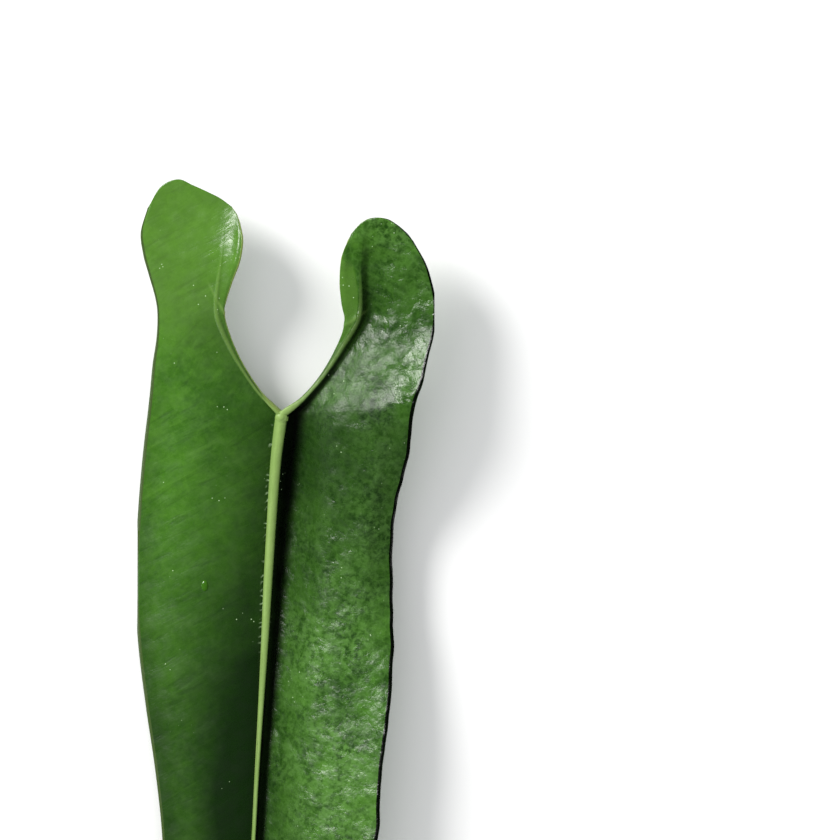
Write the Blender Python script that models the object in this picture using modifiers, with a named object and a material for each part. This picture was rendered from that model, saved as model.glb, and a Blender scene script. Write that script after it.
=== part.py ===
"""A cut anthurium leaf lying face up, built for Blender 4.5.

Units are metres and Z is up. +Y runs from the pointed tip toward the two ears at
the leaf's base, and +X is the right half as seen from above. The leaf grew as one
piece, so blade, midrib, the ribs along the sinus and the stub of the cut stalk
are one solid. It rests on three low places: the hollow beside the midrib, the
left margin and the tip.

Each half of the blade is a sheet between an inner line (the midrib, then the edge
of the sinus) and the outer margin. Both lines have 23 stations, counted from the
tip, and row n of every table below belongs to station n.
"""
import math

import bmesh
import bpy
from mathutils import Vector

MM = 0.001

# The underside is pressed flat onto the surface where it is nearer than this.
SEAT = 0.22

# Overall place of the leaf: brings the middle of its box onto the Z axis.
MOVE_X = 0.1
MOVE_Y = 0.7

# Lines of the leaf in millimetres: x, y and height of the sheet's middle.
MIDRIB = [
    (-14.7, -162.5, 0.4), (-14.5, -151.2, 1.1), (-14.0, -134.5, 2.2),
    (-13.4, -114.9, 3.1), (-12.6, -93.9, 3.8), (-11.8, -72.9, 4.2),
    (-10.8, -53.4, 4.3), (-9.7, -35.5, 4.2), (-8.7, -16.2, 4.0),
    (-7.6, 3.2, 3.8), (-6.5, 22.7, 3.7), (-5.5, 42.1, 3.8),
    (-4.4, 60.1, 4.7), (-3.0, 78.1, 7.0), (-1.0, 92.1, 10.0),
]
LEFT_SINUS = [
    (-6.7, 98.0, 11.6), (-12.9, 107.8, 14.0), (-16.7, 117.3, 16.8),
    (-17.4, 123.1, 18.6), (-15.2, 130.5, 21.0), (-12.9, 136.5, 22.4),
    (-12.0, 142.7, 22.0), (-12.9, 148.1, 20.2),
]
RIGHT_SINUS = [
    (4.5, 96.2, 11.2), (10.5, 103.0, 12.8), (15.6, 111.8, 14.6),
    (17.9, 119.0, 16.4), (17.0, 124.5, 17.8), (16.5, 131.0, 18.8),
    (17.2, 138.3, 19.8), (19.9, 144.7, 20.8),
]
LEFT_MARGIN = [
    (-15.4, -161.9, 0.5), (-19.1, -150.1, 1.8), (-24.6, -132.7, 3.6),
    (-29.1, -112.4, 5.4), (-32.5, -91.0, 6.8), (-34.7, -69.8, 7.6),
    (-35.7, -50.3, 7.4), (-36.1, -33.8, 6.4), (-38.1, -15.1, 5.0),
    (-41.0, 4.4, 3.4), (-43.4, 23.7, 1.6), (-44.4, 42.9, 0.3),
    (-43.4, 62.4, 0.8), (-41.8, 79.5, 3.2), (-39.8, 95.1, 6.0),
    (-38.7, 106.1, 8.2), (-37.5, 114.4, 10.6), (-37.2, 121.4, 12.8),
    (-37.8, 126.4, 14.2), (-39.6, 133.2, 14.8), (-41.2, 139.4, 15.0),
    (-41.9, 146.2, 15.2), (-39.9, 153.3, 16.0),
]
RIGHT_MARGIN = [
    (-13.9, -161.9, 0.5), (-9.1, -149.8, 3.6), (-2.4, -132.3, 7.4),
    (4.3, -112.0, 11.0), (11.2, -90.6, 14.4), (17.8, -69.5, 17.2),
    (23.1, -50.0, 19.2), (26.9, -33.4, 20.0), (28.0, -14.6, 19.2),
    (30.5, 5.0, 17.4), (31.5, 24.3, 14.4), (31.2, 43.4, 12.2),
    (31.8, 61.0, 13.6), (35.9, 78.8, 19.8), (37.6, 92.9, 25.0),
    (40.2, 101.1, 25.4), (42.0, 108.8, 24.2), (43.6, 114.7, 23.0),
    (44.3, 120.6, 22.6), (44.2, 125.8, 22.8), (43.1, 131.1, 23.2),
    (41.4, 136.4, 23.6), (37.9, 142.8, 23.8),
]
# Rounded ends of the ears, from the sinus edge to the outer margin.
LEFT_END = [
    (-12.9, 148.1, 20.2), (-14.6, 152.1, 19.0), (-18.2, 155.1, 18.2),
    (-22.6, 157.4, 17.8), (-27.0, 159.4, 17.5), (-31.3, 161.1, 17.2),
    (-36.3, 159.0, 16.7), (-39.9, 153.3, 16.0),
]
RIGHT_END = [
    (19.9, 144.7, 20.8), (22.3, 147.5, 21.2), (24.9, 149.1, 21.6),
    (27.6, 149.5, 22.1), (30.8, 148.9, 22.6), (33.4, 147.3, 23.0),
    (35.8, 145.2, 23.4), (37.9, 142.8, 23.8),
]
END_STARTS = 17.0

# Thickness of the blade, and the ribs that stand above and below it.
BLADE = 0.76
RIB_HALF_WIDTH = [
    0.30, 0.35, 0.40, 0.45, 0.50, 0.55, 0.60, 0.70, 0.75, 0.85, 1.05, 1.25,
    1.35, 1.65, 2.00, 1.15, 1.05, 0.95, 0.80, 0.60, 0.45, 0.40, 0.40,
]
RIB_EXTRA = [
    0.00, 0.20, 0.50, 0.80, 1.00, 1.15, 1.30, 1.50, 1.65, 1.85, 2.15, 2.45,
    2.60, 2.70, 2.10, 1.10, 1.10, 1.05, 0.85, 0.45, 0.10, 0.00, 0.00,
]
# How far the rib's middle lies from the inner line, above the junction.
LEFT_INSET = [
    0.0, 0.0, 0.0, 0.0, 0.0, 0.0, 0.0, 0.0, 0.0, 0.0, 0.0, 0.0,
    0.0, 0.0, 0.0, 1.1, 1.3, 2.0, 2.7, 4.8, 6.9, 8.0, 8.0,
]
RIGHT_INSET = [
    0.0, 0.0, 0.0, 0.0, 0.0, 0.0, 0.0, 0.0, 0.0, 0.0, 0.0, 0.0,
    0.0, 0.0, 0.0, 1.1, 1.2, 1.9, 4.0, 5.8, 6.2, 6.0, 4.5,
]

# How far each half stands above the straight line from midrib to margin.
LEFT_SWELL = [
    0.0, 0.2, 0.5, 0.9, 1.3, 1.6, 1.8, 2.0, 2.4, 3.0, 3.6, 4.2,
    4.4, 4.0, 3.2, 2.2, 1.0, 0.2, -0.4, -0.8, -1.0, -0.8, 0.0,
]
RIGHT_SWELL = [
    0.0, 0.2, 0.5, 0.8, 1.0, 1.2, 1.4, 1.5, 1.6, 1.6, 1.6, 1.5,
    1.2, 1.0, 0.8, 0.6, 0.4, 0.0, -0.4, -0.8, -1.0, -0.6, 0.0,
]
# Depth of the hollow just right of the midrib, how far out its floor lies, and how
# wide its outer slope is.
HOLLOW = [
    0.0, 0.3, 0.9, 1.6, 2.3, 3.0, 3.6, 4.0, 4.3, 4.6, 5.0, 5.6,
    6.3, 6.3, 4.6, 2.3, 1.9, 2.1, 2.5, 2.1, 1.2, 0.4, 0.0,
]
HOLLOW_FLOOR = [
    0.5, 1.0, 1.8, 2.4, 2.8, 3.2, 3.5, 3.7, 3.9, 4.0, 4.2, 4.6,
    5.0, 5.4, 5.2, 4.4, 3.8, 3.3, 3.0, 2.8, 2.8, 2.8, 2.8,
]
HOLLOW_REACH = [
    2.0, 4.0, 8.0, 12.0, 15.0, 15.0, 15.0, 15.0, 15.0, 15.0, 15.0, 15.0,
    15.0, 15.0, 14.0, 12.0, 11.0, 10.0, 9.0, 8.0, 8.0, 8.0, 8.0,
]
# Fold along the outer vein of each half: the strip beyond it turns down.
FOLD_AT = 0.82
LEFT_FOLD = [
    0.0, 0.0, 0.0, 0.0, 0.0, 0.1, 0.2, 0.3, 0.4, 0.5, 0.8, 0.9,
    0.8, 0.5, 0.3, 0.2, 0.0, 0.0, 0.0, 0.0, 0.0, 0.0, 0.0,
]
RIGHT_FOLD = [
    0.0, 0.0, 0.0, 0.0, 0.0, 0.0, 0.0, -0.2, -0.6, -0.5, 0.6, 2.2,
    2.6, 1.2, -0.6, -1.1, -0.6, 0.0, 0.0, 0.0, 0.0, 0.0, 0.0,
]

# Rows and columns of the sheet.
STATIONS = 22
JUNCTION = 14
ROWS_PER_STATION = 3
RIB_COLUMNS = 4
BLADE_STEPS = [
    0.0, 0.04, 0.075, 0.11, 0.16, 0.24, 0.34, 0.46, 0.6, 0.73, 0.82, 0.91, 1.0,
]

# Stub of the cut stalk: centre line and radius in millimetres. Its upper end is
# the knuckle between the ribs, and its lower end is the cut.
STALK = [
    (-1.0, 90.9, 11.5), (-1.0, 90.9, 10.9), (-1.0, 90.8, 9.7), (-1.1, 90.4, 6.9),
    (-1.4, 88.6, 4.3), (-1.7, 85.4, 3.0), (-2.0, 81.6, 2.7),
]
STALK_RADIUS = 2.0
STALK_SWELL = [0.35, 0.8, 1.05, 1.0, 0.98, 1.0, 1.04]

LEAF_GREEN = (0.058, 0.17, 0.032, 1.0)


def along(table, place):
    """Value of the smooth line through a table's rows at a place between them."""
    last = len(table) - 1
    start = min(max(int(place), 0), last - 1)
    part = place - start
    here = table[start]
    after = table[start + 1]
    before = table[start - 1] if start > 0 else 2 * here - after
    beyond = table[start + 2] if start + 2 <= last else 2 * after - here
    slope_here = (after - before) * 0.5
    slope_after = (beyond - here) * 0.5
    change = after - here
    square = part * part
    cube = square * part
    return (here + slope_here * part
            + (change * 3 - slope_here * 2 - slope_after) * square
            + (slope_here + slope_after - change * 2) * cube)


def eased(value):
    """Smooth step from 0 to 1."""
    value = min(max(value, 0.0), 1.0)
    return value * value * (3.0 - 2.0 * value)


def vectors(rows):
    return [Vector(row) for row in rows]


class Half:
    """One half of the blade: its lines, its waves and the places on its sheet."""

    def __init__(self, sinus, margin, end, swell, fold, inset, hollow):
        self.midrib = vectors(MIDRIB)
        self.sinus = [self.midrib[-1]] + vectors(sinus)
        self.margin = vectors(margin)
        self.end = vectors(end)
        self.swell = swell
        self.fold = fold
        self.inset = inset
        self.hollow = hollow

    def inner(self, place):
        if place <= JUNCTION:
            return along(self.midrib, place)
        return along(self.sinus, place - JUNCTION)

    def width(self, place):
        return (along(self.margin, place) - self.inner(place)).length

    def rib_line(self, place):
        """How far the rib's middle lies from the inner line."""
        if place <= JUNCTION:
            return 0.0
        return max(0.0, along(self.inset, place))

    def rib_half(self, place):
        return min(along(RIB_HALF_WIDTH, place), 0.2 * self.width(place))

    def share(self, column, place):
        """Share of the way out to the margin at which a column lies."""
        width = self.width(place)
        half = self.rib_half(place)
        middle = self.rib_line(place)
        near = max(middle - 1.1 * half, 0.6 * half)
        steps = [0.0, near, max(middle, 0.85 * half), middle + 1.1 * half]
        if column < len(steps):
            return steps[column] / width
        first = steps[-1] / width
        return first + (1.0 - first) * BLADE_STEPS[column - len(steps) + 1]

    def point(self, share, place):
        """Middle of the sheet in millimetres."""
        inner = self.inner(place)
        outer = along(self.margin, place)
        spot = inner.lerp(outer, share)
        ending = eased((place - END_STARTS) / (STATIONS - END_STARTS))
        chord = self.end[0].lerp(self.end[-1], share)
        curved = along(self.end, share * (len(self.end) - 1))
        spot += (curved - chord) * ending
        out = share * self.width(place)
        flat = 0.9 * self.rib_half(place)
        past_rib = max(0.0, out - flat) / (self.width(place) - flat)
        spot.z += along(self.swell, place) * math.sin(math.pi * past_rib ** 0.75)
        fold = along(self.fold, place)
        if fold < 0.0 and share < FOLD_AT:
            ridge = math.sin(math.pi * eased(share / FOLD_AT) * 0.5)
        elif fold < 0.0:
            ridge = math.cos(math.pi * 0.5 * (share - FOLD_AT) / (1.0 - FOLD_AT))
        elif share < FOLD_AT:
            ridge = eased(share / FOLD_AT) ** 2
        else:
            ridge = (1.0 - share) / (1.0 - FOLD_AT)
        spot.z += fold * ridge
        if self.hollow:
            past = out - self.rib_line(place)
            floor = along(HOLLOW_FLOOR, place)
            if past < floor:
                depth = eased(past / floor)
            else:
                depth = 1.0 - eased((past - floor) / along(HOLLOW_REACH, place))
            spot.z -= max(0.0, along(HOLLOW, place)) * depth
        return spot

    def thickness(self, share, place):
        """Thickness of the leaf in millimetres, ribs included."""
        out = share * self.width(place)
        across = (out - self.rib_line(place)) / self.rib_half(place)
        round_rib = max(0.0, 1.0 - across * across) ** 0.6
        return BLADE + max(0.0, along(RIB_EXTRA, place)) * round_rib


def add_half(sheet, weights, half, most):
    """Makes one half as a grid and moves its vertices onto the leaf."""
    rows = STATIONS * ROWS_PER_STATION
    columns = RIB_COLUMNS + len(BLADE_STEPS) - 2
    made = bmesh.ops.create_grid(
        sheet, x_segments=columns, y_segments=rows, size=0.5)
    for vert in made["verts"]:
        column = round((vert.co.x + 0.5) * columns)
        place = (vert.co.y + 0.5) * STATIONS
        share = half.share(column, place)
        spot = half.point(share, place)
        vert[weights][0] = half.thickness(share, place) / most
        vert.co = (spot + Vector((MOVE_X, MOVE_Y, 0.0))) * MM


def build_sheet(thickest):
    sheet = bmesh.new()
    weights = sheet.verts.layers.deform.verify()
    left = Half(
        LEFT_SINUS, LEFT_MARGIN, LEFT_END, LEFT_SWELL, LEFT_FOLD, LEFT_INSET, False)
    right = Half(
        RIGHT_SINUS, RIGHT_MARGIN, RIGHT_END, RIGHT_SWELL, RIGHT_FOLD, RIGHT_INSET,
        True)
    add_half(sheet, weights, left, thickest)
    add_half(sheet, weights, right, thickest)
    bmesh.ops.remove_doubles(sheet, verts=sheet.verts, dist=0.000001)
    bmesh.ops.triangulate(sheet, faces=sheet.faces, quad_method="BEAUTY")
    bmesh.ops.recalc_face_normals(sheet, faces=sheet.faces)
    up = sum((face.normal.z * face.calc_area() for face in sheet.faces), 0.0)
    if up < 0.0:
        bmesh.ops.reverse_faces(sheet, faces=sheet.faces)
    mesh = bpy.data.meshes.new("leaf")
    sheet.to_mesh(mesh)
    sheet.free()
    return mesh


def finished_mesh(thing, name):
    """Mesh of an object with its modifiers worked out."""
    shown = thing.evaluated_get(bpy.context.evaluated_depsgraph_get())
    mesh = bpy.data.meshes.new_from_object(shown)
    mesh.name = name
    return mesh


def build_blade(collection):
    """Blade and ribs: the sheet given its thickness, set down on the surface."""
    thickest = BLADE + max(RIB_EXTRA)
    sheet = bpy.data.objects.new("sheet", build_sheet(thickest))
    collection.objects.link(sheet)
    sheet.vertex_groups.new(name="thickness")
    solid = sheet.modifiers.new("thickness", "SOLIDIFY")
    solid.thickness = thickest * MM
    solid.offset = 0.0
    solid.vertex_group = "thickness"
    solid.thickness_vertex_group = 0.0
    mesh = finished_mesh(sheet, "leaf")
    bpy.data.objects.remove(sheet, do_unlink=True)
    for vert in mesh.vertices:
        if vert.co.z < SEAT * MM:
            vert.co.z = 0.0
    leaf = bpy.data.objects.new("leaf", mesh)
    collection.objects.link(leaf)
    return leaf


def build_stalk(collection):
    """Stub of the stalk as a closed tube that starts inside the junction."""
    curve = bpy.data.curves.new("stalk", "CURVE")
    curve.dimensions = "3D"
    curve.bevel_depth = STALK_RADIUS * MM
    curve.bevel_resolution = 3
    curve.use_fill_caps = True
    curve.resolution_u = 4
    line = curve.splines.new("BEZIER")
    line.bezier_points.add(len(STALK) - 1)
    for point, spot, swell in zip(line.bezier_points, STALK, STALK_SWELL):
        point.co = (Vector(spot) + Vector((MOVE_X, MOVE_Y, 0.0))) * MM
        point.radius = swell
        point.handle_left_type = "AUTO"
        point.handle_right_type = "AUTO"
    drawn = bpy.data.objects.new("stalk_line", curve)
    collection.objects.link(drawn)
    bpy.context.view_layer.update()
    mesh = finished_mesh(drawn, "stalk")
    bpy.data.objects.remove(drawn, do_unlink=True)
    bpy.data.curves.remove(curve)
    tube = bmesh.new()
    tube.from_mesh(mesh)
    bmesh.ops.remove_doubles(tube, verts=tube.verts, dist=0.00001)
    bmesh.ops.recalc_face_normals(tube, faces=tube.faces)
    tube.to_mesh(mesh)
    tube.free()
    stalk = bpy.data.objects.new("stalk", mesh)
    stalk.hide_render = True
    stalk.display_type = "WIRE"
    collection.objects.link(stalk)
    return stalk


def leaf_material():
    material = bpy.data.materials.new("leaf_green")
    material.use_nodes = True
    shader = material.node_tree.nodes["Principled BSDF"]
    shader.inputs["Base Color"].default_value = LEAF_GREEN
    shader.inputs["Roughness"].default_value = 0.4
    return material


def main():
    for thing in list(bpy.data.objects):
        bpy.data.objects.remove(thing, do_unlink=True)
    scene = bpy.context.scene
    parts = bpy.data.collections.new("anthurium_leaf")
    cutters = bpy.data.collections.new("cutters")
    scene.collection.children.link(parts)
    scene.collection.children.link(cutters)
    leaf = build_blade(parts)
    stalk = build_stalk(cutters)
    join = leaf.modifiers.new("stalk", "BOOLEAN")
    join.operation = "UNION"
    join.solver = "EXACT"
    join.object = stalk
    leaf.data.materials.clear()
    leaf.data.materials.append(leaf_material())


if __name__ == "__main__":
    main()
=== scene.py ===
import math

import bmesh
import bpy
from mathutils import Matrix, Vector, noise


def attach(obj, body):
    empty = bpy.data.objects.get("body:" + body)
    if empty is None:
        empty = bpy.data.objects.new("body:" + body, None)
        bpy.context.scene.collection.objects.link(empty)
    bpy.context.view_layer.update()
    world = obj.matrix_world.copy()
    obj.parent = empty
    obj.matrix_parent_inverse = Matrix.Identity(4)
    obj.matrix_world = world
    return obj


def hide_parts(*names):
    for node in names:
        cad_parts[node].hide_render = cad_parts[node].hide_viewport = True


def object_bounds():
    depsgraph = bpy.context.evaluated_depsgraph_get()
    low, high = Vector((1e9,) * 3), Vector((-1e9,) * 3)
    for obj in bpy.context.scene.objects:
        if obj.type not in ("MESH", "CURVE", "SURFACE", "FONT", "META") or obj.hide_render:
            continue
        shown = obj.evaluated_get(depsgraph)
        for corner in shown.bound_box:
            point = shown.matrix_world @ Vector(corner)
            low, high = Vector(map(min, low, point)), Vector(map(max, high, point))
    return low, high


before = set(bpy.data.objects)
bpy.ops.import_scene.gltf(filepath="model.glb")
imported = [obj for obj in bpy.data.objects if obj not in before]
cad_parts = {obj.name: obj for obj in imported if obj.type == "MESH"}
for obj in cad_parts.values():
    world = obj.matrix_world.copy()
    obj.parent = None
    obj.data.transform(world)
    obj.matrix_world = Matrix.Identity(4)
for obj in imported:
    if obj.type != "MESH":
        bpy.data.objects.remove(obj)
CAD_LOW, CAD_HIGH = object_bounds()

bl_info = {
    "name": "Anthurium Leaf",
    "version": (1, 0, 0),
    "blender": (4, 5, 0),
    "location": "View3D > Sidebar > Leaf",
    "description": "A cut anthurium leaf lying face up, with its ribs, veins and skin",
    "category": "Add Mesh",
}

MM = 0.001
MOVE = Vector((0.1, 0.7, 0.0))
SEAT = 0.22

# Lines of the leaf in millimetres, counted by station from the tip: x, y and the
# height of the middle of the sheet. They are the same lines as the solid's.
MIDRIB = [
    (-14.7, -162.5, 0.4), (-14.5, -151.2, 1.1), (-14.0, -134.5, 2.2),
    (-13.4, -114.9, 3.1), (-12.6, -93.9, 3.8), (-11.8, -72.9, 4.2),
    (-10.8, -53.4, 4.3), (-9.7, -35.5, 4.2), (-8.7, -16.2, 4.0),
    (-7.6, 3.2, 3.8), (-6.5, 22.7, 3.7), (-5.5, 42.1, 3.8),
    (-4.4, 60.1, 4.7), (-3.0, 78.1, 7.0), (-1.0, 92.1, 10.0),
]
LEFT_SINUS = [
    (-6.7, 98.0, 11.6), (-12.9, 107.8, 14.0), (-16.7, 117.3, 16.8),
    (-17.4, 123.1, 18.6), (-15.2, 130.5, 21.0), (-12.9, 136.5, 22.4),
    (-12.0, 142.7, 22.0), (-12.9, 148.1, 20.2),
]
RIGHT_SINUS = [
    (4.5, 96.2, 11.2), (10.5, 103.0, 12.8), (15.6, 111.8, 14.6),
    (17.9, 119.0, 16.4), (17.0, 124.5, 17.8), (16.5, 131.0, 18.8),
    (17.2, 138.3, 19.8), (19.9, 144.7, 20.8),
]
LEFT_MARGIN = [
    (-15.4, -161.9, 0.5), (-19.1, -150.1, 1.8), (-24.6, -132.7, 3.6),
    (-29.1, -112.4, 5.4), (-32.5, -91.0, 6.8), (-34.7, -69.8, 7.6),
    (-35.7, -50.3, 7.4), (-36.1, -33.8, 6.4), (-38.1, -15.1, 5.0),
    (-41.0, 4.4, 3.4), (-43.4, 23.7, 1.6), (-44.4, 42.9, 0.3),
    (-43.4, 62.4, 0.8), (-41.8, 79.5, 3.2), (-39.8, 95.1, 6.0),
    (-38.7, 106.1, 8.2), (-37.5, 114.4, 10.6), (-37.2, 121.4, 12.8),
    (-37.8, 126.4, 14.2), (-39.6, 133.2, 14.8), (-41.2, 139.4, 15.0),
    (-41.9, 146.2, 15.2), (-39.9, 153.3, 16.0),
]
RIGHT_MARGIN = [
    (-13.9, -161.9, 0.5), (-9.1, -149.8, 3.6), (-2.4, -132.3, 7.4),
    (4.3, -112.0, 11.0), (11.2, -90.6, 14.4), (17.8, -69.5, 17.2),
    (23.1, -50.0, 19.2), (26.9, -33.4, 20.0), (28.0, -14.6, 19.2),
    (30.5, 5.0, 17.4), (31.5, 24.3, 14.4), (31.2, 43.4, 12.2),
    (31.8, 61.0, 13.6), (35.9, 78.8, 19.8), (37.6, 92.9, 25.0),
    (40.2, 101.1, 25.4), (42.0, 108.8, 24.2), (43.6, 114.7, 23.0),
    (44.3, 120.6, 22.6), (44.2, 125.8, 22.8), (43.1, 131.1, 23.2),
    (41.4, 136.4, 23.6), (37.9, 142.8, 23.8),
]
LEFT_END = [
    (-12.9, 148.1, 20.2), (-14.6, 152.1, 19.0), (-18.2, 155.1, 18.2),
    (-22.6, 157.4, 17.8), (-27.0, 159.4, 17.5), (-31.3, 161.1, 17.2),
    (-36.3, 159.0, 16.7), (-39.9, 153.3, 16.0),
]
RIGHT_END = [
    (19.9, 144.7, 20.8), (22.3, 147.5, 21.2), (24.9, 149.1, 21.6),
    (27.6, 149.5, 22.1), (30.8, 148.9, 22.6), (33.4, 147.3, 23.0),
    (35.8, 145.2, 23.4), (37.9, 142.8, 23.8),
]
END_STARTS = 17.0
STATIONS = 22
JUNCTION = 14

# Ribs: half width, how much thicker than the blade, and how far the rib's middle
# lies from the inner line, which is the sinus edge above the junction.
RIB_HALF_WIDTH = [
    0.30, 0.35, 0.40, 0.45, 0.50, 0.55, 0.60, 0.70, 0.75, 0.85, 1.05, 1.25,
    1.35, 1.65, 2.00, 1.15, 1.05, 0.95, 0.80, 0.60, 0.45, 0.40, 0.40,
]
RIB_EXTRA = [
    0.00, 0.20, 0.50, 0.80, 1.00, 1.15, 1.30, 1.50, 1.65, 1.85, 2.15, 2.45,
    2.60, 2.70, 2.10, 1.10, 1.10, 1.05, 0.85, 0.45, 0.10, 0.00, 0.00,
]
LEFT_INSET = [
    0.0, 0.0, 0.0, 0.0, 0.0, 0.0, 0.0, 0.0, 0.0, 0.0, 0.0, 0.0,
    0.0, 0.0, 0.0, 1.1, 1.3, 2.0, 2.7, 4.8, 6.9, 8.0, 8.0,
]
RIGHT_INSET = [
    0.0, 0.0, 0.0, 0.0, 0.0, 0.0, 0.0, 0.0, 0.0, 0.0, 0.0, 0.0,
    0.0, 0.0, 0.0, 1.1, 1.2, 1.9, 4.0, 5.8, 6.2, 6.0, 4.5,
]

# Form of each half across its width.
LEFT_SWELL = [
    0.0, 0.2, 0.5, 0.9, 1.3, 1.6, 1.8, 2.0, 2.4, 3.0, 3.6, 4.2,
    4.4, 4.0, 3.2, 2.2, 1.0, 0.2, -0.4, -0.8, -1.0, -0.8, 0.0,
]
RIGHT_SWELL = [
    0.0, 0.2, 0.5, 0.8, 1.0, 1.2, 1.4, 1.5, 1.6, 1.6, 1.6, 1.5,
    1.2, 1.0, 0.8, 0.6, 0.4, 0.0, -0.4, -0.8, -1.0, -0.6, 0.0,
]
LEFT_HOLLOW = [0.0] * 23
RIGHT_HOLLOW = [
    0.0, 0.3, 0.9, 1.6, 2.3, 3.0, 3.6, 4.0, 4.3, 4.6, 5.0, 5.6,
    6.3, 6.3, 4.6, 2.3, 1.9, 2.1, 2.5, 2.1, 1.2, 0.4, 0.0,
]
HOLLOW_FLOOR = [
    0.5, 1.0, 1.8, 2.4, 2.8, 3.2, 3.5, 3.7, 3.9, 4.0, 4.2, 4.6,
    5.0, 5.4, 5.2, 4.4, 3.8, 3.3, 3.0, 2.8, 2.8, 2.8, 2.8,
]
HOLLOW_REACH = [
    2.0, 4.0, 8.0, 12.0, 15.0, 15.0, 15.0, 15.0, 15.0, 15.0, 15.0, 15.0,
    15.0, 15.0, 14.0, 12.0, 11.0, 10.0, 9.0, 8.0, 8.0, 8.0, 8.0,
]
FOLD_AT = 0.82
LEFT_FOLD = [
    0.0, 0.0, 0.0, 0.0, 0.0, 0.1, 0.2, 0.3, 0.4, 0.5, 0.8, 0.9,
    0.8, 0.5, 0.3, 0.2, 0.0, 0.0, 0.0, 0.0, 0.0, 0.0, 0.0,
]
RIGHT_FOLD = [
    0.0, 0.0, 0.0, 0.0, 0.0, 0.0, 0.0, -0.2, -0.6, -0.5, 0.6, 2.2,
    2.6, 1.2, -0.6, -1.1, -0.6, 0.0, 0.0, 0.0, 0.0, 0.0, 0.0,
]
# Darkness and width of the deep shade just right of the midrib and its rib.
SHADE = [
    0.3, 0.6, 0.8, 0.95, 1.0, 1.0, 1.0, 1.0, 1.0, 1.0, 1.0, 1.0,
    1.0, 1.0, 1.0, 0.95, 0.9, 0.8, 0.8, 0.6, 0.35, 0.15, 0.0,
]
SHADE_WIDTH = [
    0.5, 0.9, 1.3, 1.8, 2.2, 2.6, 3.0, 3.2, 3.4, 4.4, 4.8, 5.0,
    5.6, 6.8, 6.0, 3.2, 2.0, 1.6, 1.5, 1.5, 1.5, 1.5, 1.5,
]

# How much of the ribs' pale colour shows, and how strong the painted shade is beside the
# midrib, along the left margin and all over each half, darkening the green where the
# surface turns from the lamp.
RIB_PALE = [
    1.0, 1.0, 1.0, 1.0, 1.0, 1.0, 1.0, 1.0, 1.0, 1.0, 1.0, 1.0,
    1.0, 1.0, 1.0, 0.55, 0.36, 0.28, 0.22, 0.15, 0.03, 0.0, 0.0,
]
LEFT_PAINTED_SHADE = [
    0.4, 0.6, 0.7, 0.8, 0.85, 0.85, 0.85, 0.85, 0.8, 0.7, 0.6, 0.55,
    0.55, 0.6, 0.55, 0.4, 0.3, 0.25, 0.2, 0.1, 0.0, 0.0, 0.0,
]
LEFT_SHORE_PAINTED_SHADE = 0.28
LEFT_PAINTED_SHADE_ALL = [
    0.5, 0.5, 0.5, 0.5, 0.5, 0.52, 0.54, 0.52, 0.5, 0.46, 0.34, 0.2,
    0.08, 0.0, 0.0, 0.0, 0.0, 0.0, 0.0, 0.0, 0.0, 0.0, 0.0,
]
RIGHT_PAINTED_SHADE = [
    0.5, 0.5, 0.5, 0.5, 0.5, 0.5, 0.5, 0.5, 0.5, 0.45, 0.38, 0.28,
    0.2, 0.2, 0.2, 0.2, 0.25, 0.25, 0.25, 0.2, 0.1, 0.0, 0.0,
]
RIGHT_PAINTED_SHADE_ALL = [
    0.3, 0.3, 0.3, 0.3, 0.3, 0.28, 0.24, 0.2, 0.14, 0.1, 0.2, 0.42,
    0.58, 0.68, 0.58, 0.36, 0.34, 0.4, 0.46, 0.48, 0.44, 0.36, 0.26,
]

# Grid of the fine sheet.
ROWS_PER_STATION = 16
EDGE_COLUMNS = 3
RIB_COLUMNS = 9
BLADE_COLUMNS = 54
COLUMNS = EDGE_COLUMNS + RIB_COLUMNS + BLADE_COLUMNS - 1
SKIN_LAYERS = ("rib", "side", "out", "edge", "place", "shade", "painted_shade")

# Share of the rib's half width under which the sheet is flat, and how much closer
# together the columns lie near the rib.
FLAT_UNDER_RIB = 0.9
SPREAD = 1.25

# Relief of the skin, in millimetres. Each ripple has its size, its seed and its height,
# and the heights of the wrinkles are shares of the wrinkle relief.
VEIN_GAP = 8.6
VEIN_SLOPE = 0.55
VEIN_BEND = (14.0, 3.0, 1.6)
VEIN_CHANGE = (19.0, 5.0, 0.9)
COARSE_WRINKLE = (5.2, 11.0, 0.9)
FINE_WRINKLE = (2.4, 23.0, 0.55)
LEFT_WRINKLE_SHARE = 0.34
LONG_WAVE = (9.0, 31.0, 0.5)
SHORT_WAVE = (4.6, 37.0, 0.45)
SIDE_WAVE = (6.5, 41.0, 0.5)
CREASE_HEIGHT = 0.16
CREASE_HALF = 0.9
CREASE_FULL_FOLD = 2.6
CURL_HEIGHT = 0.3
CURL_REACH = 7.0
MARGIN_THINNED = 0.5
MARGIN_REACH = 1.6
DROP_PLACE = Vector((-24.0, 40.6))
DROP_SIZE = Vector((1.05, 1.7))

# Small veins of the ears, in plan millimetres, with their half width.
EAR_VEINS = [
    ([(-17.3, 121.5), (-20.2, 126.6), (-22.6, 131.4)], 0.5),
    ([(19.0, 118.4), (21.5, 120.4), (25.2, 123.2)], 0.6),
]
EAR_VEIN_HEIGHT = 0.45
EAR_VEIN_PALE = 0.3

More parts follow.
